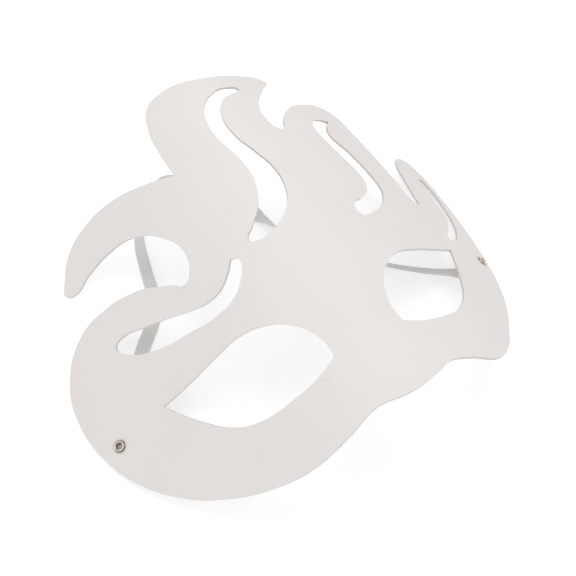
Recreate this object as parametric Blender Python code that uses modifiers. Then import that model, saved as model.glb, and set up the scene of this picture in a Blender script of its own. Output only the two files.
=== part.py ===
# Party half mask: one die-cut card sheet bent over the nose, two metal eyelets and an elastic strap.
# It lies on its cheeks with its front up. +X runs across the mask to the viewer's right, +Y runs up
# the face to the flames, +Z is up, and the origin is under the middle of the card.
# Run with: blender --background --python part.py
import math

import bmesh
import bpy
import numpy as np
from mathutils import Matrix, Vector

# Card sheet, measured flat. The origin of the flat pattern lies between the eyes' inner corners.
HALF_WIDTH = 0.102          # centreline to the widest part of a cheek
FLAME_RISE = 0.110          # eye line to the tallest flame
CARD_THICKNESS = 0.0008
RULING_STEP = 0.0026        # width of the flat strips that the bent sheet is made of
CURVE_STEPS = 5             # facets of the cut edge between two knots
MERGE_DISTANCE = 0.00004    # corners of the sheet nearer than this are one
FLAT_WITHIN = 0.05          # degrees between faces that count as one plane

# Eye holes, a mirrored pair
EYE_INNER = 0.0116          # centreline to the inner corner
EYE_LENGTH = 0.061          # inner corner to outer corner, across the mask
EYE_HEIGHT = 0.029          # lowest to highest point

# Eyelets
EYELET_INSET = 0.010        # an eyelet's axis to the widest part of the cheek, on the flat sheet
EYELET_UP_LEFT = 0.0258     # eye line to the axis, set by hand on each side
EYELET_UP_RIGHT = 0.0232
FLANGE_RADIUS = 0.00225
BARREL_RADIUS = 0.0014      # outside of the barrel
BARREL_WALL = 0.00035
FLANGE_THICKNESS = 0.0003
CLEARANCE = 0.0003          # gap between neighbouring pieces
EYELET_SIDES = 20
WELD_DISTANCE = 0.00001     # seams of turned and swept pieces close within this

# Elastic strap
STRAP_WIDTH = 0.005
STRAP_THICKNESS = 0.0007
STRAP_TAIL = 0.0034         # past the eyelet's axis to the cut end
STRAP_STEP = 0.002          # spacing of its cross-sections
STRAP_TURN = 180            # degrees that it has turned over by its right end
ROUTE_SAMPLES = 12          # samples between two knots of its route, before even spacing

# Die-cut outline: across as a share of HALF_WIDTH, up as a share of FLAME_RISE, and whether the
# knot is a sharp corner. The list runs from the nose round the right cheek and over the flames.
OUTLINE = [
    (-0.10, -0.168, False), (0.00, -0.181, False), (0.10, -0.170, False), (0.18, -0.149, False),
    (0.27, -0.153, False), (0.44, -0.170, False), (0.558, -0.140, False), (0.656, -0.085, False),
    (0.795, 0.015, False), (0.88, 0.105, False), (0.94, 0.200, False), (0.976, 0.295, False),
    (1.005, 0.400, False), (1.02, 0.518, False), (1.014, 0.643, False), (0.968, 0.709, False),
    # spike beside the right cheek
    (0.907, 0.714, False), (0.852, 0.672, False), (0.808, 0.585, False), (0.778, 0.506, False),
    (0.753, 0.462, False), (0.724, 0.482, False), (0.721, 0.564, False), (0.710, 0.673, False),
    # right flame
    (0.682, 0.800, False), (0.653, 0.877, False), (0.588, 0.909, False), (0.441, 0.888, False),
    (0.330, 0.842, False), (0.255, 0.777, False), (0.225, 0.739, False), (0.196, 0.736, False),
    (0.174, 0.773, False), (0.182, 0.831, False), (0.248, 0.903, False), (0.324, 0.963, True),
    # middle flame
    (0.304, 0.975, False), (0.196, 0.977, False), (0.039, 0.981, False), (-0.100, 0.997, False),
    (-0.165, 0.985, False), (-0.205, 0.918, False), (-0.215, 0.836, False), (-0.213, 0.741, True),
    # left flame, whose tip curls down
    (-0.334, 0.813, False), (-0.482, 0.884, False), (-0.624, 0.912, False), (-0.734, 0.885, False),
    (-0.812, 0.800, False), (-0.829, 0.760, False), (-0.795, 0.744, False), (-0.716, 0.767, False),
    (-0.604, 0.769, False), (-0.481, 0.726, False), (-0.375, 0.629, False), (-0.336, 0.545, False),
    (-0.359, 0.484, False), (-0.398, 0.471, False), (-0.461, 0.516, False), (-0.596, 0.599, False),
    # left cheek
    (-0.735, 0.632, False), (-0.840, 0.613, False), (-0.951, 0.502, False), (-0.986, 0.363, False),
    (-0.965, 0.229, False), (-0.904, 0.104, False), (-0.800, -0.007, False), (-0.674, -0.087, False),
    (-0.530, -0.146, False), (-0.353, -0.185, False), (-0.206, -0.183, False),
]

# Eye hole: share of EYE_LENGTH from the inner corner, share of EYE_HEIGHT from the eye line, corner
EYE_HOLE = [
    (1.000, 0.950, True), (0.795, 0.938, False), (0.548, 0.910, False), (0.375, 0.862, False),
    (0.215, 0.734, False), (0.089, 0.534, False), (0.021, 0.310, False), (0.000, 0.103, False),
    (0.005, 0.000, True), (0.105, -0.055, False), (0.302, -0.055, False), (0.531, 0.038, False),
    (0.700, 0.214, False), (0.848, 0.514, False), (0.957, 0.810, False),
]

# Flame slots, in the outline's shares
SLOTS = {
    "left_cheek": [
        (-0.187, 0.386, False), (-0.211, 0.409, True), (-0.244, 0.385, False), (-0.295, 0.367, False),
        (-0.362, 0.372, False), (-0.448, 0.405, False), (-0.545, 0.452, False), (-0.642, 0.491, False),
        (-0.723, 0.516, False), (-0.759, 0.502, False), (-0.730, 0.457, False), (-0.626, 0.400, False),
        (-0.494, 0.359, False), (-0.371, 0.324, False), (-0.275, 0.316, False), (-0.223, 0.337, False),
    ],
    "middle": [
        (0.151, 0.911, False), (0.110, 0.925, False), (0.047, 0.912, False),
        (-0.008, 0.868, False), (-0.030, 0.801, False), (-0.028, 0.735, False),
        (-0.011, 0.655, False), (-0.009, 0.578, False), (-0.048, 0.488, False),
        (-0.099, 0.441, False), (-0.129, 0.418, False), (-0.110, 0.397, False),
        (-0.055, 0.397, False), (0.015, 0.436, False), (0.063, 0.510, False),
        (0.071, 0.585, False), (0.049, 0.661, False), (0.024, 0.736, False), (0.028, 0.823, False),
        (0.066, 0.878, False), (0.122, 0.899, False),
    ],
    "right": [
        (0.444, 0.809, False), (0.508, 0.828, False), (0.553, 0.828, True), (0.503, 0.784, False),
        (0.490, 0.745, False), (0.531, 0.679, False), (0.559, 0.582, False), (0.552, 0.507, False),
        (0.510, 0.460, False), (0.452, 0.422, False), (0.384, 0.395, False), (0.325, 0.375, False),
        (0.284, 0.372, False), (0.274, 0.393, False), (0.302, 0.424, False), (0.363, 0.448, False),
        (0.446, 0.496, False), (0.479, 0.555, False), (0.459, 0.619, False), (0.422, 0.709, False),
        (0.412, 0.766, False),
    ],
    "spike": [
        (0.962, 0.615, False), (0.984, 0.555, False), (0.967, 0.471, False), (0.932, 0.389, False),
        (0.867, 0.326, False), (0.806, 0.298, False), (0.782, 0.305, False), (0.834, 0.349, False),
        (0.897, 0.405, False), (0.920, 0.473, False), (0.941, 0.555, False),
    ],
}

# Bend of the sheet: share of HALF_WIDTH from the centreline, and how steeply the sheet falls there
# towards the left cheek and towards the right cheek, in degrees
BEND = [
    (0.00, 0, 0), (0.05, 13, 9), (0.10, 25, 17), (0.15, 34, 23), (0.20, 42, 29), (0.30, 52, 36),
    (0.40, 55, 39), (0.50, 53, 39), (0.60, 47, 39), (0.70, 38, 39), (0.80, 28, 39), (0.90, 21, 40),
    (1.05, 19, 40),
]

# Route of the strap between the eyelets, chosen by hand: x, y and its lower edge's height over the
# surface, in metres, and the lean of its width from lying flat, in degrees. It stands on its edge
# where it turns round behind the flames, and goes on turning over as it comes back.
STRAP_ROUTE = [
    (-0.0680, -0.0120, 0.0006, 8), (-0.0592, -0.0004, 0.0002, 2), (-0.0519, 0.0097, 0.0002, 0),
    (-0.0440, 0.0178, 0.0002, 2), (-0.0394, 0.0241, 0.0002, 18), (-0.0376, 0.0323, 0.0002, 33),
    (-0.0358, 0.0405, 0.0002, 37), (-0.0332, 0.0501, 0.0002, 42), (-0.0289, 0.0589, 0.0002, 54),
    (-0.0212, 0.0679, 0.0002, 72), (-0.0129, 0.0721, 0.0002, 86), (-0.0055, 0.0686, 0.0002, 92),
    (0.0010, 0.0618, 0.0002, 100), (0.0063, 0.0529, 0.0002, 118), (0.0100, 0.0459, 0.0002, 136),
    (0.0120, 0.0416, 0.0002, 160), (0.0133, 0.0373, 0.0002, 206), (0.0151, 0.0322, 0.0002, 238),
    (0.0230, 0.0220, 0.0002, 254), (0.0322, 0.0094, 0.0003, 235), (0.0423, -0.0026, 0.0013, 222),
    (0.0512, -0.0126, 0.0043, 215), (0.0580, -0.0190, 0.0069, 207), (0.0635, -0.0226, 0.0086, 181),
]

# Sheet colours
CARD_WHITE = (0.83, 0.80, 0.77, 1.0)
NICKEL = (0.66, 0.62, 0.55, 1.0)
ELASTIC_GREY = (0.60, 0.58, 0.56, 1.0)


def clear_scene():
    for thing in list(bpy.data.objects):
        bpy.data.objects.remove(thing, do_unlink=True)


def new_collection(name):
    collection = bpy.data.collections.new(name)
    bpy.context.scene.collection.children.link(collection)
    return collection


def make_material(name, colour, roughness, metallic=0.0):
    material = bpy.data.materials.new(name)
    material.use_nodes = True
    shader = material.node_tree.nodes["Principled BSDF"]
    shader.inputs["Base Color"].default_value = colour
    shader.inputs["Roughness"].default_value = roughness
    shader.inputs["Metallic"].default_value = metallic
    return material


def add_object(name, data, collection, material=None):
    thing = bpy.data.objects.new(name, data)
    collection.objects.link(thing)
    if material is not None:
        thing.data.materials.append(material)
    return thing


def evaluated_copy(thing, name, collection, material):
    # A curve made a mesh, with its caps welded on
    depsgraph = bpy.context.evaluated_depsgraph_get()
    mesh = bpy.data.meshes.new_from_object(thing.evaluated_get(depsgraph))
    copy = add_object(name, mesh, collection, None)
    copy.matrix_world = thing.matrix_world
    mesh.materials.clear()
    mesh.materials.append(material)
    bpy.data.objects.remove(thing, do_unlink=True)
    shape = bmesh.new()
    shape.from_mesh(mesh)
    bmesh.ops.remove_doubles(shape, verts=shape.verts, dist=WELD_DISTANCE)
    shape.to_mesh(mesh)
    shape.free()
    return copy


def flat_points(table):
    return [(across * HALF_WIDTH, up * FLAME_RISE, corner) for across, up, corner in table]


def eye_points(side):
    return [
        (side * (EYE_INNER + along * EYE_LENGTH), up * EYE_HEIGHT, corner)
        for along, up, corner in EYE_HOLE
    ]


def eyelet_centre(side):
    return side * (HALF_WIDTH - EYELET_INSET), EYELET_UP_LEFT if side < 0 else EYELET_UP_RIGHT


def add_loop(curve, points):
    # One closed loop of the die: smooth through its knots, with corners where the table says so
    spline = curve.splines.new("BEZIER")
    spline.bezier_points.add(len(points) - 1)
    spline.use_cyclic_u = True
    for knot, (across, up, corner) in zip(spline.bezier_points, points):
        knot.co = (across, up, 0.0)
        kind = "VECTOR" if corner else "AUTO"
        knot.handle_left_type = kind
        knot.handle_right_type = kind


def add_round_hole(curve, centre, radius):
    spline = curve.splines.new("POLY")
    spline.points.add(EYELET_SIDES - 1)
    spline.use_cyclic_u = True
    for index, point in enumerate(spline.points):
        turn = math.tau * index / EYELET_SIDES
        point.co = (centre[0] + radius * math.cos(turn), centre[1] + radius * math.sin(turn), 0.0, 1.0)


def ruling_places():
    # Rulings at even steps, with the centreline halfway between two of them
    count = int(1.1 * HALF_WIDTH / RULING_STEP)
    return (np.arange(-count, count) + 0.5) * RULING_STEP


class BentSheet:
    # The outer face of the card, bent along straight rulings that run up the face. across and up
    # are measured on the flat sheet, and depth goes from the outer face into the card.

    def __init__(self, low, high):
        self.across = ruling_places()
        share, left, right = np.array(BEND, dtype=float).T
        away = np.abs(self.across) / HALF_WIDTH
        fall_left = -np.interp(away, share, left)
        fall_right = np.interp(away, share, right)
        self.fall = np.radians(np.where(self.across < 0, fall_left, fall_right))
        strip = (self.fall[1:] + self.fall[:-1]) / 2
        self.x = np.concatenate([[0], np.cumsum(np.cos(strip) * RULING_STEP)])
        self.z = -np.concatenate([[0], np.cumsum(np.sin(strip) * RULING_STEP)])
        self.level(low.x, high.x)
        corners = [self.point(across, 0, depth) for across in (low.x, high.x)
                   for depth in (0, CARD_THICKNESS)]
        middle_x = (min(c.x for c in corners) + max(c.x for c in corners)) / 2
        self.shift = Vector((-middle_x, -(low.y + high.y) / 2, -min(c.z for c in corners)))

    def level(self, left, right):
        # Turn the section until both cheeks' inner edges stand equally high
        self.shift = Vector((0, 0, 0))
        for _ in range(3):
            start = self.point(left, 0, CARD_THICKNESS)
            end = self.point(right, 0, CARD_THICKNESS)
            angle = math.atan2(end.z - start.z, end.x - start.x)
            x = self.x * math.cos(angle) + self.z * math.sin(angle)
            self.z = self.z * math.cos(angle) - self.x * math.sin(angle)
            self.x = x
            self.fall = self.fall + angle

    def normal(self, across):
        fall = np.interp(across, self.across, self.fall)
        return Vector((math.sin(fall), 0, math.cos(fall)))

    def point(self, across, up, depth=0.0):
        # Straight from ruling to ruling at every depth, so that each strip is flat on both faces
        x = np.interp(across, self.across, self.x - np.sin(self.fall) * depth)
        z = np.interp(across, self.across, self.z - np.cos(self.fall) * depth)
        return Vector((x, up, z)) + self.shift


def join_flat_faces(sheet):
    # Inner edges between faces of one plane go, as within each strip between two rulings
    bmesh.ops.dissolve_limit(sheet, angle_limit=math.radians(FLAT_WITHIN), verts=sheet.verts,
                             edges=sheet.edges)


def cut_flat_card():
    # The flat die-cut sheet with every hole, cut along the rulings. Returned as a bmesh.
    die = bpy.data.curves.new("die", "CURVE")
    die.dimensions = "2D"
    die.fill_mode = "BOTH"
    die.resolution_u = CURVE_STEPS
    add_loop(die, flat_points(OUTLINE))
    for side in (-1, 1):
        add_loop(die, eye_points(side))
        add_round_hole(die, eyelet_centre(side), BARREL_RADIUS + CLEARANCE)
    for slot in SLOTS.values():
        add_loop(die, flat_points(slot))
    blank = add_object("die", die, bpy.context.scene.collection)
    depsgraph = bpy.context.evaluated_depsgraph_get()
    mesh = bpy.data.meshes.new_from_object(blank.evaluated_get(depsgraph))
    bpy.data.objects.remove(blank, do_unlink=True)
    sheet = bmesh.new()
    sheet.from_mesh(mesh)
    bpy.data.meshes.remove(mesh)
    bmesh.ops.remove_doubles(sheet, verts=sheet.verts, dist=MERGE_DISTANCE)
    join_flat_faces(sheet)
    rulings = ruling_places()
    for vertex in sheet.verts:
        nearest = rulings[np.abs(rulings - vertex.co.x).argmin()]
        if abs(nearest - vertex.co.x) < MERGE_DISTANCE:
            vertex.co.x = nearest
    for across in rulings:
        geometry = sheet.verts[:] + sheet.edges[:] + sheet.faces[:]
        bmesh.ops.bisect_plane(sheet, geom=geometry, dist=WELD_DISTANCE / 10,
                               plane_co=(across, 0, 0), plane_no=(1, 0, 0))
    bmesh.ops.remove_doubles(sheet, verts=sheet.verts, dist=MERGE_DISTANCE)
    return sheet


def make_card(collection, material):
    sheet = cut_flat_card()
    low = Vector((min(v.co.x for v in sheet.verts), min(v.co.y for v in sheet.verts)))
    high = Vector((max(v.co.x for v in sheet.verts), max(v.co.y for v in sheet.verts)))
    bent = BentSheet(low, high)
    across = sheet.verts.layers.float.new("across")
    for vertex in sheet.verts:
        vertex[across] = vertex.co.x
        vertex.co = bent.point(vertex.co.x, vertex.co.y)
    sheet.normal_update()
    join_flat_faces(sheet)
    # The inner face is a copy of the outer one, a card's thickness further in
    grown = bmesh.ops.extrude_face_region(sheet, geom=sheet.faces[:])["geom"]
    for vertex in [item for item in grown if isinstance(item, bmesh.types.BMVert)]:
        up = vertex.co.y - bent.shift.y
        vertex.co = bent.point(vertex[across], up, CARD_THICKNESS)
    bmesh.ops.recalc_face_normals(sheet, faces=sheet.faces)
    mesh = bpy.data.meshes.new("mask_card")
    sheet.to_mesh(mesh)
    sheet.free()
    add_object("mask_card", mesh, collection, material)
    return bent


def card_frame(bent, side):
    # Axes at an eyelet: across the sheet, up the face and out of the card, at the outer face
    across, up = eyelet_centre(side)
    normal = bent.normal(across)
    along = Vector((normal.z, 0, -normal.x))
    frame = Matrix((along, Vector((0, 1, 0)), normal)).transposed().to_4x4()
    frame.translation = bent.point(across, up)
    return frame


def make_eyelet(name, frame, collection, material):
    # Half section of the eyelet, from the hole's front edge down its outside and back up the hole
    front = CLEARANCE
    back = -(CARD_THICKNESS + 2 * CLEARANCE + STRAP_THICKNESS)
    hole = BARREL_RADIUS - BARREL_WALL
    edge = FLANGE_THICKNESS / 3
    profile = [
        (hole + edge, front + FLANGE_THICKNESS), (FLANGE_RADIUS - edge, front + FLANGE_THICKNESS),
        (FLANGE_RADIUS, front + edge), (FLANGE_RADIUS - edge, front),
        (BARREL_RADIUS, front), (BARREL_RADIUS, back),
        (FLANGE_RADIUS - edge, back), (FLANGE_RADIUS, back - edge),
        (FLANGE_RADIUS - edge, back - FLANGE_THICKNESS), (hole + edge, back - FLANGE_THICKNESS),
        (hole, back - FLANGE_THICKNESS + edge), (hole, front + FLANGE_THICKNESS - edge),
    ]
    mesh = bpy.data.meshes.new(name)
    section = bmesh.new()
    ring = [section.verts.new((radius, 0, height)) for radius, height in profile]
    for start, end in zip(ring, ring[1:] + ring[:1]):
        section.edges.new((start, end))
    section.to_mesh(mesh)
    section.free()
    eyelet = add_object(name, mesh, collection, material)
    eyelet.matrix_world = frame
    turn = eyelet.modifiers.new("turned", "SCREW")
    turn.axis = "Z"
    turn.steps = EYELET_SIDES
    turn.render_steps = EYELET_SIDES
    turn.use_merge_vertices = True
    turn.merge_threshold = WELD_DISTANCE
    return eyelet


def smooth_route(knots, step):
    # Points at even steps along a smooth curve through the knots (centripetal Catmull-Rom)
    knots = [np.array(k, dtype=float) for k in knots]
    ends = [2 * knots[0] - knots[1]] + knots + [2 * knots[-1] - knots[-2]]
    fine = []
    for a, b, c, d in zip(ends, ends[1:], ends[2:], ends[3:]):
        t1 = np.linalg.norm((b - a)[:3]) ** 0.5
        t2 = t1 + np.linalg.norm((c - b)[:3]) ** 0.5
        t3 = t2 + np.linalg.norm((d - c)[:3]) ** 0.5
        for t in np.linspace(t1, t2, ROUTE_SAMPLES, endpoint=False):
            p = a + (b - a) * t / t1
            q = b + (c - b) * (t - t1) / (t2 - t1)
            r = c + (d - c) * (t - t2) / (t3 - t2)
            p = p + (q - p) * t / t2
            q = q + (r - q) * (t - t1) / (t3 - t1)
            fine.append(p + (q - p) * (t - t1) / (t2 - t1))
    fine = np.array(fine + [knots[-1]])
    run = np.concatenate([[0], np.cumsum(np.linalg.norm(np.diff(fine[:, :3], axis=0), axis=1))])
    count = max(2, round(run[-1] / step))
    even = np.linspace(0, run[-1], count + 1)
    return [np.array([np.interp(s, run, column) for column in fine.T]) for s in even]


def half_height(lean):
    # From the middle of the strap down to its lower edge, at a lean in degrees
    lean = math.radians(lean)
    return (STRAP_WIDTH * abs(math.sin(lean)) + STRAP_THICKNESS * abs(math.cos(lean))) / 2


def strap_end(frame, towards):
    # Where the strap passes under an eyelet: its cut end, the eyelet's axis and a point further on,
    # lying against the card and pointing along the route, with the lean that this needs
    depth = -(CARD_THICKNESS + CLEARANCE + STRAP_THICKNESS / 2)
    axis = frame @ Vector((0, 0, depth))
    normal = frame.to_3x3() @ Vector((0, 0, 1))
    heading = Vector(towards[:3]) - axis
    heading = (heading - normal * heading.dot(normal)).normalized()
    side = Vector((heading.y, -heading.x, 0)).normalized()
    width = heading.cross(normal)
    lean = math.degrees(math.atan2(width.dot(side.cross(heading)), width.dot(side)))
    clear_of_flange = axis + heading * 2 * FLANGE_RADIUS - normal * CLEARANCE
    points = [axis - heading * STRAP_TAIL, axis, clear_of_flange]
    return [(p.x, p.y, p.z - half_height(lean), lean) for p in points]


def make_strap(frames, collection, cutters, material):
    start = strap_end(frames[0], STRAP_ROUTE[0])
    finish = strap_end(frames[1], STRAP_ROUTE[-1])
    knots = start + STRAP_ROUTE + [(x, y, lift, STRAP_TURN - lean)
                                    for x, y, lift, lean in reversed(finish)]
    band = bpy.data.curves.new("elastic_strap", "CURVE")
    band.dimensions = "3D"
    band.twist_mode = "Z_UP"
    section = bpy.data.curves.new("strap_section", "CURVE")
    section.dimensions = "2D"
    outline = section.splines.new("POLY")
    outline.points.add(3)
    outline.use_cyclic_u = True
    corners = [(-1, -1), (-1, 1), (1, 1), (1, -1)]
    for point, (wide, high) in zip(outline.points, corners):
        point.co = (wide * STRAP_WIDTH / 2, high * STRAP_THICKNESS / 2, 0, 1)
    profile = add_object("strap_section", section, cutters)
    profile.hide_render = True
    profile.display_type = "WIRE"
    band.bevel_mode = "OBJECT"
    band.bevel_object = profile
    band.use_fill_caps = True
    route = smooth_route(knots, STRAP_STEP)
    spline = band.splines.new("POLY")
    spline.points.add(len(route) - 1)
    for point, (x, y, lift, lean) in zip(spline.points, route):
        point.co = (x, y, lift + half_height(lean), 1)
        point.tilt = -math.radians(lean)
    curve = add_object("strap_curve", band, collection)
    strap = evaluated_copy(curve, "elastic_strap", collection, material)
    for index, frame in enumerate(frames):
        punch_hole(strap, frame, f"strap_punch_{index}", cutters)
    return strap


def punch_hole(strap, frame, name, cutters):
    mesh = bpy.data.meshes.new(name)
    shape = bmesh.new()
    radius = BARREL_RADIUS + CLEARANCE
    bmesh.ops.create_cone(shape, cap_ends=True, segments=EYELET_SIDES, radius1=radius,
                          radius2=radius, depth=6 * STRAP_THICKNESS)
    shape.to_mesh(mesh)
    shape.free()
    punch = add_object(name, mesh, cutters)
    depth = CARD_THICKNESS + CLEARANCE + STRAP_THICKNESS / 2
    punch.matrix_world = frame @ Matrix.Translation((0, 0, -depth))
    punch.hide_render = True
    punch.display_type = "WIRE"
    cut = strap.modifiers.new(name, "BOOLEAN")
    cut.operation = "DIFFERENCE"
    cut.solver = "EXACT"
    cut.object = punch


def main():
    clear_scene()
    mask = new_collection("party_mask")
    cutters = new_collection("cutters")
    bent = make_card(mask, make_material("card", CARD_WHITE, 0.75))
    nickel = make_material("nickel", NICKEL, 0.3, 1.0)
    frames = [card_frame(bent, side) for side in (-1, 1)]
    for name, frame in zip(("eyelet_left", "eyelet_right"), frames):
        make_eyelet(name, frame, mask, nickel)
    make_strap(frames, mask, cutters, make_material("elastic", ELASTIC_GREY, 0.85))


main()
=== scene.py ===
# Dresses the party half mask: fine bent card, nickel eyelets and a woven elastic strap
import math

import bmesh
import bpy
import numpy as np
from mathutils import Matrix, Vector


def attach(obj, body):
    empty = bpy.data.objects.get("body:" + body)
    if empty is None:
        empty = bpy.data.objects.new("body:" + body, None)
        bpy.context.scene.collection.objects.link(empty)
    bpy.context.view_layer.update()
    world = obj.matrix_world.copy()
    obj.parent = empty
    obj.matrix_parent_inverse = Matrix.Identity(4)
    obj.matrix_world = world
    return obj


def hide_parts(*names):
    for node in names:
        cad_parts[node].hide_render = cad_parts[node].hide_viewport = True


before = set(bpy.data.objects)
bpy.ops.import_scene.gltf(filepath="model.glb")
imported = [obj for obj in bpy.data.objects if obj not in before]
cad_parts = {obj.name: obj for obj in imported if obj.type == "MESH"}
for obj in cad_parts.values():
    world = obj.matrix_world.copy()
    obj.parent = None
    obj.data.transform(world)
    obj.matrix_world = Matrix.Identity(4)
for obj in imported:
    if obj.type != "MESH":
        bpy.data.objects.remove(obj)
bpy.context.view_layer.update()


# Camera at the photograph's angle
cameraView = {
    "azimuth": -37.27,           # degrees round from the chin edge, towards the left cheek
    "elevation": 58.93,
    "roll": 7.2,
    "distance": 0.3033,
    "lookAt": (0.0061, 0.0076, 0.0002),
    "focalLength": 51.44,        # millimetres
    "sensorWidth": 36,
    "clip": (0.01, 20),
}


def addCamera(view):
    turn = (
        Matrix.Rotation(math.radians(view["azimuth"]), 4, "Z")
        @ Matrix.Rotation(math.radians(90 - view["elevation"]), 4, "X")
    )
    away = turn @ Vector((0, 0, view["distance"]))
    data = bpy.data.cameras.new("photoCamera")
    data.sensor_width = view["sensorWidth"]
    data.lens = view["focalLength"]
    data.clip_start, data.clip_end = view["clip"]
    camera = bpy.data.objects.new("photoCamera", data)
    bpy.context.scene.collection.objects.link(camera)
    place = Matrix.Translation(Vector(view["lookAt"]) + away)
    camera.matrix_world = place @ turn @ Matrix.Rotation(math.radians(view["roll"]), 4, "Z")
    bpy.context.scene.camera = camera


addCamera(cameraView)
print("camera placed")


# Helpers that every piece uses
def newPiece(name, shape, *materials):
    mesh = bpy.data.meshes.new(name)
    shape.to_mesh(mesh)
    shape.free()
    piece = bpy.data.objects.new(name, mesh)
    bpy.context.scene.collection.objects.link(piece)
    for material in materials:
        mesh.materials.append(material)
    return piece


def applyModifiers(piece):
    depsgraph = bpy.context.evaluated_depsgraph_get()
    mesh = bpy.data.meshes.new_from_object(piece.evaluated_get(depsgraph))
    piece.modifiers.clear()
    piece.data = mesh


class NodeBench:
    # Shorthand for wiring one material
    def __init__(self, name, roughness, metallic=0.0):
        self.material = bpy.data.materials.new(name)
        self.material.use_nodes = True
        self.tree = self.material.node_tree
        self.shader = self.tree.nodes["Principled BSDF"]
        self.shader.inputs["Roughness"].default_value = roughness
        self.shader.inputs["Metallic"].default_value = metallic

    def add(self, kind, **sockets):
        node = self.tree.nodes.new(kind)
        for key, value in sockets.items():
            if key in node.inputs:
                node.inputs[key].default_value = value
            else:
                setattr(node, key, value)
        return node

    def wire(self, output, target):
        self.tree.links.new(output, target)

    def math(self, operation, first, second=None):
        node = self.add("ShaderNodeMath", operation=operation)
        for slot, value in enumerate((first, second)):
            if value is None:
                continue
            if isinstance(value, (int, float)):
                node.inputs[slot].default_value = value
            else:
                self.wire(value, node.inputs[slot])
        return node.outputs[0]

    def noise(self, coordinates, scale, detail, roughness=0.5):
        node = self.add("ShaderNodeTexNoise", Scale=scale, Detail=detail, Roughness=roughness)
        self.wire(coordinates, node.inputs["Vector"])
        return node.outputs["Fac"]

    def stretch(self, coordinates, scale, turn):
        node = self.add("ShaderNodeMapping")
        node.inputs["Scale"].default_value = scale
        node.inputs["Rotation"].default_value = (0, 0, turn)
        self.wire(coordinates, node.inputs["Vector"])
        return node.outputs["Vector"]

    def between(self, factor, low, high, toLow, toHigh):
        node = self.add("ShaderNodeMapRange")
        self.wire(factor, node.inputs["Value"])
        for key, value in zip(("From Min", "From Max", "To Min", "To Max"),
                              (low, high, toLow, toHigh)):
            node.inputs[key].default_value = value
        return node.outputs["Result"]

    def colours(self, factor, stops):
        node = self.add("ShaderNodeValToRGB")
        ramp = node.color_ramp
        while len(ramp.elements) < len(stops):
            ramp.elements.new(0.5)
        for element, (place, colour) in zip(ramp.elements, stops):
            element.position = place
            element.color = (*colour, 1)
        self.wire(factor, node.inputs["Fac"])
        return node.outputs["Color"]

    def bump(self, height, distance, strength):
        node = self.add("ShaderNodeBump", Distance=distance, Strength=strength)
        self.wire(height, node.inputs["Height"])
        return node.outputs["Normal"]

    def finish(self, colour, normal, roughness=None):
        self.wire(colour, self.shader.inputs["Base Color"])
        self.wire(normal, self.shader.inputs["Normal"])
        if roughness is not None:
            self.wire(roughness, self.shader.inputs["Roughness"])
        return self.material


# Elastic strap, a free cord between the two eyelets
strap = {
    "width": 0.005,
    "thickness": 0.0007,
    "length": 0.2538,
    "step": 0.0009,              # spacing of its cross-sections
    "samples": 24,               # between two knots of the route, before it is spaced evenly
    "ribs": 8,                   # rubber cores across its width
    "ribPoints": 4,
    "ribDepth": 0.00007,
    "edgeInset": 0.6,            # the rounded edges, as shares of half the thickness
    "edgeShoulder": (0.18, 0.55),
    # x, y, height of its lower edge, lean of its width from lying flat
    "route": [
        (-0.07444, -0.02162, 0.00060, 17.8), (-0.07283, -0.01869, 0.00120, 17.8),
        (-0.07059, -0.01481, 0.00172, 17.8),
        (-0.0680, -0.0120, 0.0006, 8), (-0.0592, -0.0004, 0.0002, 2), (-0.0519, 0.0097, 0.0002, 0),
        (-0.0440, 0.0178, 0.0002, 2), (-0.0394, 0.0241, 0.0002, 18), (-0.0376, 0.0323, 0.0002, 33),
        (-0.0358, 0.0405, 0.0002, 37), (-0.0332, 0.0501, 0.0002, 42),
        (-0.0289, 0.0589, 0.0002, 54), (-0.0212, 0.0679, 0.0002, 72),
        (-0.0129, 0.0721, 0.0002, 86), (-0.0055, 0.0686, 0.0002, 92),
        (0.0010, 0.0618, 0.0002, 100), (0.0063, 0.0529, 0.0002, 118),
        (0.0100, 0.0459, 0.0002, 136), (0.0120, 0.0416, 0.0002, 160),
        (0.0133, 0.0373, 0.0002, 206), (0.0151, 0.0322, 0.0002, 238),
        (0.0230, 0.0220, 0.0002, 254), (0.0322, 0.0094, 0.0003, 235),
        (0.0423, -0.0026, 0.0013, 222), (0.0512, -0.0126, 0.0043, 215),
        (0.0580, -0.0190, 0.0069, 207), (0.0635, -0.0226, 0.0086, 181),
        (0.06754, -0.02219, 0.00947, 170.2), (0.07108, -0.02129, 0.00683, 170.2),
        (0.07360, -0.02061, 0.00466, 170.2),
    ],
    "threadPitch": 0.00042,      # weft threads along it
    "threadSlant": 0.8,
    "colours": [(0.12, (0.40, 0.395, 0.388)), (0.5, (0.70, 0.695, 0.685)),
                (0.9, (0.82, 0.815, 0.805))],
}


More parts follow.
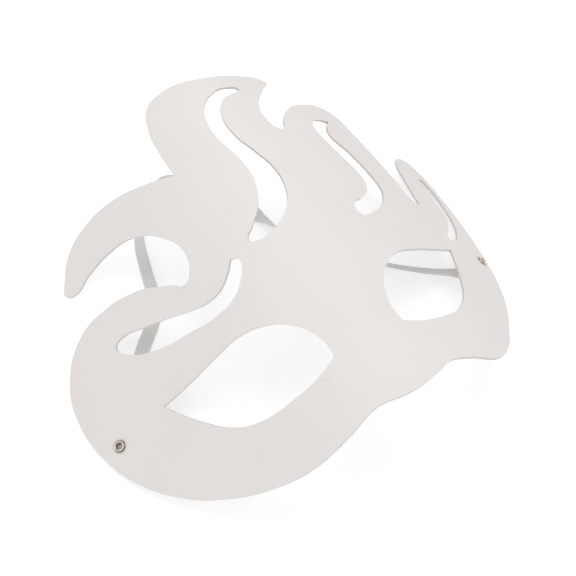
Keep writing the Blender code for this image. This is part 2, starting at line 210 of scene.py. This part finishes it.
def smoothRoute(knots, samples, step):
    # Centripetal Catmull-Rom through the knots, then evenly spaced
    knots = [np.array(knot, dtype=float) for knot in knots]
    ends = [2 * knots[0] - knots[1]] + knots + [2 * knots[-1] - knots[-2]]
    fine = []
    for a, b, c, d in zip(ends, ends[1:], ends[2:], ends[3:]):
        t1 = np.linalg.norm((b - a)[:3]) ** 0.5
        t2 = t1 + np.linalg.norm((c - b)[:3]) ** 0.5
        t3 = t2 + np.linalg.norm((d - c)[:3]) ** 0.5
        for t in np.linspace(t1, t2, samples, endpoint=False):
            p = a + (b - a) * t / t1
            q = b + (c - b) * (t - t1) / (t2 - t1)
            r = c + (d - c) * (t - t2) / (t3 - t2)
            p = p + (q - p) * t / t2
            q = q + (r - q) * (t - t1) / (t3 - t1)
            fine.append(p + (q - p) * (t - t1) / (t2 - t1))
    fine = np.array(fine + [knots[-1]])
    run = np.concatenate([[0], np.cumsum(np.linalg.norm(np.diff(fine[:, :3], axis=0), axis=1))])
    even = np.linspace(0, run[-1], round(run[-1] / step) + 1)
    return [np.array([np.interp(s, run, column) for column in fine.T]) for s in even]


def strapStations(settings):
    # A frame at each cross-section: width along X, thickness along Y, the way along Z
    route = smoothRoute(settings["route"], settings["samples"], settings["step"])
    places = []
    for x, y, lift, lean in route:
        angle = math.radians(lean)
        half = (settings["width"] * abs(math.sin(angle))
                + settings["thickness"] * abs(math.cos(angle))) / 2
        places.append(Vector((x, y, lift + half)))
    frames = []
    for index, place in enumerate(places):
        ahead = places[min(index + 1, len(places) - 1)] - places[max(index - 1, 0)]
        ahead.normalize()
        side = Vector((ahead.y, -ahead.x, 0)).normalized()
        over = side.cross(ahead)
        angle = math.radians(route[index][3])
        width = side * math.cos(angle) + over * math.sin(angle)
        thick = ahead.cross(width)
        turn = Matrix((width, thick, ahead)).transposed().to_4x4()
        frames.append(Matrix.Translation(place) @ turn)
    return places, frames


def strapSection(settings):
    # Half round edges and a shallow valley between neighbouring cores
    halfWidth, halfThick = settings["width"] / 2, settings["thickness"] / 2
    shoulderIn, shoulderUp = settings["edgeShoulder"]
    top = []
    count = settings["ribs"] * settings["ribPoints"]
    for index in range(count + 1):
        share = -1 + 2 * index / count
        across = share * (halfWidth - halfThick * settings["edgeInset"])
        rib = abs(math.sin(math.pi * settings["ribs"] * (share + 1) / 2))
        top.append((across, halfThick - settings["ribDepth"] * (1 - rib)))
    shoulder = halfWidth - halfThick * shoulderIn
    edge = [(shoulder, halfThick * shoulderUp), (halfWidth, 0.0),
            (shoulder, -halfThick * shoulderUp)]
    under = [(-across, -high) for across, high in top]
    return top + edge + under + [(-across, -high) for across, high in edge]


def makeStrap(settings, material):
    places, frames = strapStations(settings)
    band = bmesh.new()
    along = band.verts.layers.float.new("along")
    across = band.verts.layers.float.new("across")
    ring = []
    for wide, high in strapSection(settings):
        vertex = band.verts.new(frames[0] @ Vector((wide, high, 0)))
        vertex[across] = wide
        ring.append(vertex)
    edges = [band.edges.new(pair) for pair in zip(ring, ring[1:] + ring[:1])]
    firstEdges = list(edges)
    run = 0.0
    for before, after, start, end in zip(frames, frames[1:], places, places[1:]):
        run += (end - start).length
        grown = bmesh.ops.extrude_edge_only(band, edges=edges)["geom"]
        corners = [item for item in grown if isinstance(item, bmesh.types.BMVert)]
        edges = [item for item in grown if isinstance(item, bmesh.types.BMEdge)]
        bmesh.ops.transform(band, matrix=after @ before.inverted(), verts=corners)
        for vertex in corners:
            vertex[along] = run
    for rim in (firstEdges, edges):
        bmesh.ops.contextual_create(band, geom=rim)
    bmesh.ops.recalc_face_normals(band, faces=band.faces)
    flat = band.loops.layers.uv.new("strapWay")
    for face in band.faces:
        face.smooth = True
        for corner in face.loops:
            corner[flat].uv = (corner.vert[along], corner.vert[across])
    return newPiece("woven_strap", band, material), places


def elasticMaterial(settings):
    bench = NodeBench("wovenElastic", 0.82)
    way = bench.add("ShaderNodeUVMap", uv_map="strapWay").outputs["UV"]
    parts = bench.add("ShaderNodeSeparateXYZ")
    bench.wire(way, parts.inputs[0])
    lengthways, across = parts.outputs["X"], parts.outputs["Y"]
    # weft threads slant one way on even ribs and the other way on odd ones
    ribWidth = settings["width"] / settings["ribs"]
    ribPlace = bench.math("DIVIDE", across, ribWidth)
    zigzag = bench.math("PINGPONG", ribPlace, 1.0)
    slanted = bench.math("ADD", bench.math("DIVIDE", lengthways, settings["threadPitch"]),
                         bench.math("MULTIPLY", zigzag, settings["threadSlant"]))
    thread = bench.math("ABSOLUTE", bench.math("SINE", bench.math("MULTIPLY", slanted, math.pi)))
    rib = bench.math("ABSOLUTE", bench.math("SINE", bench.math("MULTIPLY", ribPlace, math.pi)))
    fuzz = bench.noise(way, 5200, 4, 0.65)
    patches = bench.noise(way, 90, 2)
    height = bench.math("ADD", bench.math("MULTIPLY", thread, 0.45),
                        bench.math("ADD", bench.math("MULTIPLY", rib, 0.35),
                                   bench.math("MULTIPLY", fuzz, 0.3)))
    # colour follows the weave's height, so the valleys between threads and cores are darker as
    # painted shade; the patches are the band's own uneven tone
    shade = bench.math("ADD", bench.math("MULTIPLY", height, 0.75),
                       bench.math("MULTIPLY", patches, 0.25))
    colour = bench.colours(shade, settings["colours"])
    bench.shader.inputs["Sheen Weight"].default_value = 0.25
    bench.shader.inputs["Sheen Roughness"].default_value = 0.4
    return bench.finish(colour, bench.bump(height, 0.00012, 0.8))


strapPiece, strapPath = makeStrap(strap, elasticMaterial(strap))
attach(strapPiece, "root")
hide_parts("elastic_strap")
print("strap woven")


# Card sheet, cut flat by the die and bent over the nose
card = {
    "halfWidth": 0.102,
    "flameRise": 0.110,
    "thickness": 0.0008,
    "curveSteps": 12,
    "sheetAcross": (-0.103, 0.106),    # where the grid's cuts begin and end
    "sheetUp": (-0.021, 0.110),
    "columnStep": 0.0009,
    "rowStep": 0.0011,
    "creaseZone": 0.0022,        # width of the finer grid on either side of the crease
    "creaseCuts": 3,
    "weld": 0.00002,
    "cutTolerance": 0.000002,
    "sectionReach": 0.112,       # the bend is worked out this far to either side
    "sectionStep": 0.00025,
    "kinkSamples": 11,           # steps of the section over which a kink is softened
    "sharpAngle": 40,
    "tilt": 0.705,               # degrees, the section as it lies on its two cheeks
    "crest": (-0.003212, 0.059073),    # x and z of the sheet's centreline
    "shiftUp": -0.044491,        # from the eye line to the frame's origin
    "eyeInner": 0.0116,
    "eyeLength": 0.061,
    "eyeHeight": 0.029,
    "eyeletAcross": 0.092,
    "eyeletUp": (0.0258, 0.0232),
    "eyeletHole": 0.0016,
    "faceColours": [(0.3, (0.752, 0.717, 0.693)), (0.7, (0.777, 0.744, 0.721))],
    # the cut walls are darker than the face: partly the card core's own tone, partly painted shade
    # on the walls
    "edgeCoreAndShadeColours": [(0.3, (0.56, 0.53, 0.505)), (0.7, (0.64, 0.61, 0.585))],
}

# share of halfWidth across, share of flameRise up, and whether the knot is a corner
outlineKnots = [
    (-0.10, -0.168, False), (0.00, -0.181, False), (0.10, -0.170, False), (0.18, -0.149, False),
    (0.27, -0.153, False), (0.44, -0.170, False), (0.558, -0.140, False), (0.656, -0.085, False),
    (0.795, 0.015, False), (0.88, 0.105, False), (0.94, 0.200, False), (0.976, 0.295, False),
    (1.005, 0.400, False), (1.02, 0.518, False), (1.014, 0.643, False), (0.968, 0.709, False),
    (0.907, 0.714, False), (0.852, 0.672, False), (0.808, 0.585, False), (0.778, 0.506, False),
    (0.753, 0.462, False), (0.724, 0.482, False), (0.721, 0.564, False), (0.710, 0.673, False),
    (0.682, 0.800, False), (0.653, 0.877, False), (0.588, 0.909, False), (0.441, 0.888, False),
    (0.330, 0.842, False), (0.255, 0.777, False), (0.225, 0.739, False), (0.196, 0.736, False),
    (0.174, 0.773, False), (0.182, 0.831, False), (0.248, 0.903, False), (0.324, 0.963, True),
    (0.304, 0.975, False), (0.196, 0.977, False), (0.039, 0.981, False), (-0.100, 0.997, False),
    (-0.165, 0.985, False), (-0.205, 0.918, False), (-0.215, 0.836, False), (-0.213, 0.741, True),
    (-0.334, 0.813, False), (-0.482, 0.884, False), (-0.624, 0.912, False), (-0.734, 0.885, False),
    (-0.812, 0.800, False), (-0.829, 0.760, False), (-0.795, 0.744, False), (-0.716, 0.767, False),
    (-0.604, 0.769, False), (-0.481, 0.726, False), (-0.375, 0.629, False), (-0.336, 0.545, False),
    (-0.359, 0.484, False), (-0.398, 0.471, False), (-0.461, 0.516, False), (-0.596, 0.599, False),
    (-0.735, 0.632, False), (-0.840, 0.613, False), (-0.951, 0.502, False), (-0.986, 0.363, False),
    (-0.965, 0.229, False), (-0.904, 0.104, False), (-0.800, -0.007, False),
    (-0.674, -0.087, False), (-0.530, -0.146, False), (-0.353, -0.185, False),
    (-0.206, -0.183, False),
]
# share of eyeLength from the inner corner, share of eyeHeight above the eye line
eyeKnots = [
    (1.000, 0.950, True), (0.795, 0.938, False), (0.548, 0.910, False), (0.375, 0.862, False),
    (0.215, 0.734, False), (0.089, 0.534, False), (0.021, 0.310, False), (0.000, 0.103, False),
    (0.005, 0.000, True), (0.105, -0.055, False), (0.302, -0.055, False), (0.531, 0.038, False),
    (0.700, 0.214, False), (0.848, 0.514, False), (0.957, 0.810, False),
]
# the flame slots, in the outline's shares
slotKnots = {
    "leftCheek": [
        (-0.187, 0.386, False), (-0.211, 0.409, True), (-0.244, 0.385, False),
        (-0.295, 0.367, False), (-0.362, 0.372, False), (-0.448, 0.405, False),
        (-0.545, 0.452, False), (-0.642, 0.491, False), (-0.723, 0.516, False),
        (-0.759, 0.502, False), (-0.730, 0.457, False), (-0.626, 0.400, False),
        (-0.494, 0.359, False), (-0.371, 0.324, False), (-0.275, 0.316, False),
        (-0.223, 0.337, False),
    ],
    "middle": [
        (0.151, 0.911, False), (0.110, 0.925, False), (0.047, 0.912, False),
        (-0.008, 0.868, False), (-0.030, 0.801, False), (-0.028, 0.735, False),
        (-0.011, 0.655, False), (-0.009, 0.578, False), (-0.048, 0.488, False),
        (-0.099, 0.441, False), (-0.129, 0.418, False), (-0.110, 0.397, False),
        (-0.055, 0.397, False), (0.015, 0.436, False), (0.063, 0.510, False),
        (0.071, 0.585, False), (0.049, 0.661, False), (0.024, 0.736, False), (0.028, 0.823, False),
        (0.066, 0.878, False), (0.122, 0.899, False),
    ],
    "right": [
        (0.444, 0.809, False), (0.508, 0.828, False), (0.553, 0.828, True), (0.503, 0.784, False),
        (0.490, 0.745, False), (0.531, 0.679, False), (0.559, 0.582, False), (0.552, 0.507, False),
        (0.510, 0.460, False), (0.452, 0.422, False), (0.384, 0.395, False), (0.325, 0.375, False),
        (0.284, 0.372, False), (0.274, 0.393, False), (0.302, 0.424, False), (0.363, 0.448, False),
        (0.446, 0.496, False), (0.479, 0.555, False), (0.459, 0.619, False), (0.422, 0.709, False),
        (0.412, 0.766, False),
    ],
    "spike": [
        (0.962, 0.615, False), (0.984, 0.555, False), (0.967, 0.471, False), (0.932, 0.389, False),
        (0.867, 0.326, False), (0.806, 0.298, False), (0.782, 0.305, False), (0.834, 0.349, False),
        (0.897, 0.405, False), (0.920, 0.473, False), (0.941, 0.555, False),
    ],
}
# share of halfWidth from the centreline, degrees of fall towards the left and the right cheek
bendKnots = [
    (0.00, 0, 0), (0.05, 13, 9), (0.10, 25, 17), (0.15, 34, 23), (0.20, 42, 29), (0.30, 52, 36),
    (0.40, 55, 39), (0.50, 53, 39), (0.60, 47, 39), (0.70, 38, 39), (0.80, 28, 39), (0.90, 21, 40),
    (1.05, 19, 40),
]
# shallow folds in the bent sheet: how far each reaches to either side of its line, then the line's
# knots with their shares across and up, and the depth there, less than nothing where it is raised
folds = {
    "creaseByEye": (0.00050, [
        (-0.194, -0.017, 0.00022), (-0.181, -0.031, 0.00026), (-0.170, -0.045, 0.00026),
        (-0.166, -0.064, 0.00023), (-0.165, -0.080, 0.00016), (-0.166, -0.100, 0.00008),
        (-0.167, -0.119, 0),
    ]),
    "ridgeByNose": (0.0045, [
        (0.025, 0.128, 0), (0.036, 0.062, -0.00050), (0.075, -0.023, -0.00130),
        (0.104, -0.108, -0.00130), (0.113, -0.146, -0.00100), (0.125, -0.172, -0.00060),
    ]),
}


def cardSection(settings):
    # Places and falls of the outer face across the sheet, finely sampled
    step, reach = settings["sectionStep"], settings["sectionReach"]
    across = np.arange(-reach, reach + step / 2, step)
    share, left, right = np.array(bendKnots, dtype=float).T
    away = np.abs(across) / settings["halfWidth"]
    fall = np.where(across < 0, -np.interp(away, share, left), np.interp(away, share, right))
    # soften the kinks between the knots
    kernel = np.hanning(2 * settings["kinkSamples"] + 1)
    padded = np.pad(fall, settings["kinkSamples"], mode="edge")
    fall = np.convolve(padded, kernel / kernel.sum(), mode="valid")
    fall = np.radians(fall + settings["tilt"])
    middle = (fall[1:] + fall[:-1]) / 2
    x = np.concatenate([[0], np.cumsum(np.cos(middle) * step)])
    z = -np.concatenate([[0], np.cumsum(np.sin(middle) * step)])
    x += settings["crest"][0] - np.interp(0, across, x)
    z += settings["crest"][1] - np.interp(0, across, z)
    return across, x, z, fall


section = cardSection(card)


def onCard(across, up, depth=0.0):
    # A point of the flat pattern on the bent sheet, and the direction out of the card there
    places, x, z, fall = section
    angle = np.interp(across, places, fall)
    normal = Vector((math.sin(angle), 0, math.cos(angle)))
    point = Vector((np.interp(across, places, x), up + card["shiftUp"],
                    np.interp(across, places, z)))
    return point - normal * depth, normal


def foldAt(across, up, line, settings):
    # Distance from a point of the flat pattern to a fold's line, and the fold's depth there
    spot = Vector((across, up))
    knots = [(Vector((x * settings["halfWidth"], y * settings["flameRise"])), depth)
             for x, y, depth in line]
    nearest = (math.inf, 0)
    for (start, startDepth), (end, endDepth) in zip(knots, knots[1:]):
        way = end - start
        share = min(max((spot - start).dot(way) / way.length_squared, 0), 1)
        distance = (spot - start - way * share).length
        nearest = min(nearest, (distance, startDepth + (endDepth - startDepth) * share))
    return nearest


def foldDepth(across, up, settings):
    depth = 0.0
    for reach, line in folds.values():
        distance, deepest = foldAt(across, up, line, settings)
        depth += deepest * math.exp(-(distance / reach) ** 2)
    return depth


def refineCrease(sheet, settings):
    # A finer grid along the sharp crease, for which the sheet's own grid is too coarse
    _, line = folds["creaseByEye"]
    near = {vertex for vertex in sheet.verts
            if foldAt(*vertex.co.xy, line, settings)[0] < settings["creaseZone"]}
    edges = [edge for edge in sheet.edges if near.issuperset(edge.verts)]
    bmesh.ops.subdivide_edges(sheet, edges=edges, cuts=settings["creaseCuts"],
                              use_grid_fill=True)


def addDieLoop(curve, knots):
    spline = curve.splines.new("BEZIER")
    spline.bezier_points.add(len(knots) - 1)
    spline.use_cyclic_u = True
    for knot, (across, up, corner) in zip(spline.bezier_points, knots):
        knot.co = (across, up, 0)
        knot.handle_left_type = knot.handle_right_type = "VECTOR" if corner else "AUTO"


def addDieCircle(curve, centre, radius):
    spline = curve.splines.new("BEZIER")
    spline.bezier_points.add(3)
    spline.use_cyclic_u = True
    for index, knot in enumerate(spline.bezier_points):
        turn = math.tau * index / 4
        knot.co = (centre[0] + radius * math.cos(turn), centre[1] + radius * math.sin(turn), 0)
        knot.handle_left_type = knot.handle_right_type = "AUTO"


def scaled(knots, settings):
    return [(across * settings["halfWidth"], up * settings["flameRise"], corner)
            for across, up, corner in knots]


def cutFlat(settings):
    # The die's curve is filled by Blender, then the sheet is cut into a fine grid
    die = bpy.data.curves.new("die", "CURVE")
    die.dimensions = "2D"
    die.fill_mode = "BOTH"
    die.resolution_u = settings["curveSteps"]
    addDieLoop(die, scaled(outlineKnots, settings))
    for side, up in zip((-1, 1), settings["eyeletUp"]):
        addDieLoop(die, [
            (side * (settings["eyeInner"] + along * settings["eyeLength"]),
             rise * settings["eyeHeight"], corner) for along, rise, corner in eyeKnots
        ])
        addDieCircle(die, (side * settings["eyeletAcross"], up), settings["eyeletHole"])
    for knots in slotKnots.values():
        addDieLoop(die, scaled(knots, settings))
    blank = bpy.data.objects.new("die", die)
    bpy.context.scene.collection.objects.link(blank)
    depsgraph = bpy.context.evaluated_depsgraph_get()
    mesh = bpy.data.meshes.new_from_object(blank.evaluated_get(depsgraph))
    bpy.data.objects.remove(blank, do_unlink=True)
    sheet = bmesh.new()
    sheet.from_mesh(mesh)
    bpy.data.meshes.remove(mesh)
    bmesh.ops.remove_doubles(sheet, verts=sheet.verts, dist=settings["weld"])
    bmesh.ops.dissolve_limit(sheet, angle_limit=0.001, verts=sheet.verts, edges=sheet.edges)
    for axis, reach, step in ((0, settings["sheetAcross"], settings["columnStep"]),
                              (1, settings["sheetUp"], settings["rowStep"])):
        for place in np.arange(*reach, step) + step / 2:
            point, normal = [0, 0, 0], [0, 0, 0]
            point[axis], normal[axis] = float(place), 1
            geometry = sheet.verts[:] + sheet.edges[:] + sheet.faces[:]
            bmesh.ops.bisect_plane(sheet, geom=geometry, dist=settings["cutTolerance"],
                                   plane_co=point, plane_no=normal)
    bmesh.ops.remove_doubles(sheet, verts=sheet.verts, dist=settings["weld"])
    return sheet


def makeCard(settings, faceMaterial, edgeMaterial):
    sheet = cutFlat(settings)
    refineCrease(sheet, settings)
    flat = sheet.loops.layers.uv.new("flatSheet")
    for face in sheet.faces:
        for corner in face.loops:
            corner[flat].uv = corner.vert.co.xy
    for vertex in sheet.verts:
        across, up = vertex.co.xy
        vertex.co, _ = onCard(across, up, foldDepth(across, up, settings))
    sheet.normal_update()
    for face in sheet.faces:
        if face.normal.z < 0:
            face.normal_flip()
        face.smooth = True
    piece = newPiece("card_sheet", sheet, faceMaterial, edgeMaterial)
    wall = piece.modifiers.new("thickness", "SOLIDIFY")
    wall.thickness = settings["thickness"]
    wall.offset = -1
    wall.use_even_offset = True
    wall.material_offset_rim = 1
    applyModifiers(piece)
    piece.data.set_sharp_from_angle(angle=math.radians(settings["sharpAngle"]))
    return piece


def cardMaterial(name, colours):
    bench = NodeBench(name, 0.68)
    flat = bench.add("ShaderNodeUVMap", uv_map="flatSheet").outputs["UV"]
    fibres = bench.noise(bench.stretch(flat, (1, 3.2, 1), 0.5), 620, 6, 0.62)
    grain = bench.noise(flat, 2600, 3, 0.55)
    clouds = bench.noise(flat, 38, 3, 0.5)
    shade = bench.math("ADD", bench.math("MULTIPLY", fibres, 0.4),
                       bench.math("MULTIPLY", clouds, 0.6))
    height = bench.math("ADD", bench.math("MULTIPLY", fibres, 0.7),
                        bench.math("MULTIPLY", grain, 0.3))
    roughness = bench.between(fibres, 0.3, 0.7, 0.62, 0.76)
    bench.shader.inputs["Specular IOR Level"].default_value = 0.35
    return bench.finish(bench.colours(shade, colours), bench.bump(height, 0.00004, 0.6), roughness)


# the cut walls take a darker copy of the card material, partly core tone and partly painted shade
cardPiece = makeCard(card, cardMaterial("whiteCard", card["faceColours"]),
                     cardMaterial("cutEdgeCoreAndShade", card["edgeCoreAndShadeColours"]))
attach(cardPiece, "root")
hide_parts("mask_card")
print("card bent:", len(cardPiece.data.polygons), "faces")


# Eyelets, rolled from nickel-plated tube
eyelet = {
    "sides": 64,
    "hole": 0.00112,
    "barrel": 0.0014,
    "flange": 0.00232,
    "lipRadius": 0.00140,        # middle of the raised rolled lip
    "lipHeight": 0.00078,
    "groove": 0.00174,           # lowest ring between the lip and the flange
    "back": -0.0021,             # inner face of the set roll behind the strap
    "weld": 0.000002,
    # tones round the section, from the hole over the lip, the groove and the flange to the back: a
    # painted highlight on the lip, painted shade in the hole and the groove, a painted dark
    # reflection at the flange's rim
    "toneAndPaintedLight": [
        (0.00, (0.42, 0.35, 0.27)), (0.05, (0.50, 0.42, 0.33)), (0.10, (0.70, 0.62, 0.54)),
        (0.15, (0.92, 0.86, 0.79)), (0.21, (0.80, 0.73, 0.66)), (0.27, (0.16, 0.125, 0.10)),
        (0.33, (0.26, 0.215, 0.18)), (0.40, (0.78, 0.73, 0.68)), (0.47, (0.50, 0.45, 0.41)),
        (0.56, (0.34, 0.30, 0.27)), (0.66, (0.55, 0.50, 0.45)), (0.97, (0.42, 0.35, 0.27)),
    ],
}


def eyeletProfile(settings):
    # Radius and height of each point, as small steps in metres from the named sizes: from the hole
    # over the lip and the flange, down the barrel, to the back roll
    hole, barrel, flange = settings["hole"], settings["barrel"], settings["flange"]
    lip, high, groove = settings["lipRadius"], settings["lipHeight"], settings["groove"]
    back = settings["back"]
    rolled = [(hole, -0.0004), (hole, high * 0.30), (hole + 0.00003, high * 0.66),
              (hole + 0.00012, high * 0.90), (lip, high), (lip + 0.00014, high * 0.91),
              (lip + 0.00024, high * 0.66), (lip + 0.00028, high * 0.34)]
    front = [(groove, 0.00009), (groove + 0.00010, 0.00010), (flange - 0.00034, 0.00020),
             (flange - 0.00018, 0.00024), (flange - 0.00006, 0.00018), (flange, 0.00008),
             (flange - 0.00004, 0.00002), (flange - 0.00016, 0.00002)]
    neck = [(barrel + 0.00012, 0.00002), (barrel, -0.0001), (barrel, back + 0.0001)]
    rear = [(barrel + 0.00012, back), (flange - 0.00030, back - 0.00002),
            (flange - 0.00006, back - 0.00006), (flange - 0.00002, back - 0.00016),
            (flange - 0.00014, back - 0.00030), (barrel + 0.00010, back - 0.00042),
            (hole + 0.00016, back - 0.00036), (hole + 0.00003, back - 0.0001)]
    return rolled + front + neck + rear


def makeEyelet(name, settings, across, up, material):
    ring = bmesh.new()
    share = ring.verts.layers.float.new("share")
    profile = eyeletProfile(settings)
    corners = [ring.verts.new((radius, 0, height)) for radius, height in profile]
    for index, vertex in enumerate(corners):
        vertex[share] = index / len(corners)
    edges = [ring.edges.new(pair) for pair in zip(corners, corners[1:] + corners[:1])]
    bmesh.ops.spin(ring, geom=corners + edges, cent=(0, 0, 0), axis=(0, 0, 1), angle=math.tau,
                   steps=settings["sides"], use_merge=True)
    bmesh.ops.remove_doubles(ring, verts=ring.verts, dist=settings["weld"])
    bmesh.ops.recalc_face_normals(ring, faces=ring.faces)
    flat = ring.loops.layers.uv.new("rimSection")
    for face in ring.faces:
        face.smooth = True
        shares = [corner.vert[share] for corner in face.loops]
        closing = max(shares) - min(shares) > 0.5    # the strip back to the first point
        for corner, place in zip(face.loops, shares):
            corner[flat].uv = (place + 1 if closing and place < 0.5 else place, 0.5)
    point, normal = onCard(across, up)
    along = Vector((normal.z, 0, -normal.x))
    place = Matrix((along, Vector((0, 1, 0)), normal)).transposed().to_4x4()
    place.translation = point
    bmesh.ops.transform(ring, matrix=place, verts=ring.verts)
    return newPiece(name, ring, material)


def nickelMaterial(settings):
    # Painted highlight on the lip; darker brown in the hole, in the groove and at the flange's rim
    # as painted shade and a painted dark reflection
    bench = NodeBench("nickelWithPaintedLight", 0.3, 1.0)
    way = bench.add("ShaderNodeUVMap", uv_map="rimSection").outputs["UV"]
    parts = bench.add("ShaderNodeSeparateXYZ")
    bench.wire(way, parts.inputs[0])
    spot = bench.add("ShaderNodeTexCoord").outputs["Object"]
    # noise that shifts the painted highlight and shade bands a little round the ring
    bandWobble = bench.noise(spot, 1900, 4, 0.6)
    scratches = bench.noise(bench.stretch(spot, (1, 6, 2), 0.4), 2600, 3, 0.6)
    drift = bench.between(bandWobble, 0.3, 0.7, -0.012, 0.012)
    place = bench.math("ADD", parts.outputs["X"], drift)
    colour = bench.colours(place, settings["toneAndPaintedLight"])
    roughness = bench.between(scratches, 0.3, 0.7, 0.24, 0.46)
    return bench.finish(colour, bench.bump(scratches, 0.00001, 0.5), roughness)


nickel = nickelMaterial(eyelet)
for side, node, up in zip((-1, 1), ("eyelet_left", "eyelet_right"), card["eyeletUp"]):
    ringPiece = makeEyelet("rolled_" + node, eyelet, side * card["eyeletAcross"], up, nickel)
    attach(ringPiece, "root")
    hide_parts(node)
print("eyelets rolled")


# Floor and light
studio = {
    "floorSize": 6.0,
    "skyStrength": 0.84,
    "keyPower": 0.20,            # a small soft lamp above the middle of the card
    "keySize": 0.16,
    "keyFrom": (0.0, 0.01, 0.33),
    "floorColour": (0.925, 0.94, 0.96, 1),
    "floorGlow": 0.245,
}


def addStudio(settings):
    ground = bmesh.new()
    bmesh.ops.create_grid(ground, x_segments=2, y_segments=2, size=settings["floorSize"] / 2)
    bench = NodeBench("paperFloor", 0.9)
    bench.shader.inputs["Base Color"].default_value = settings["floorColour"]
    bench.shader.inputs["Emission Color"].default_value = (1, 1, 1, 1)
    bench.shader.inputs["Emission Strength"].default_value = settings["floorGlow"]
    floor = newPiece("paper_floor", ground, bench.material)
    world = bpy.data.worlds.new("studioSky")
    world.use_nodes = True
    sky = world.node_tree.nodes["Background"]
    sky.inputs["Color"].default_value = (1, 1, 1, 1)
    sky.inputs["Strength"].default_value = settings["skyStrength"]
    bpy.context.scene.world = world
    lamp = bpy.data.lights.new("softKey", "AREA")
    lamp.shape = "DISK"
    lamp.size = settings["keySize"]
    lamp.energy = settings["keyPower"]
    key = bpy.data.objects.new("softKey", lamp)
    key.location = settings["keyFrom"]
    aim = -Vector(settings["keyFrom"])
    key.rotation_euler = aim.to_track_quat("-Z", "Y").to_euler()
    bpy.context.scene.collection.objects.link(key)
    bpy.context.scene.view_settings.view_transform = "Standard"


addStudio(studio)
print("studio lit")
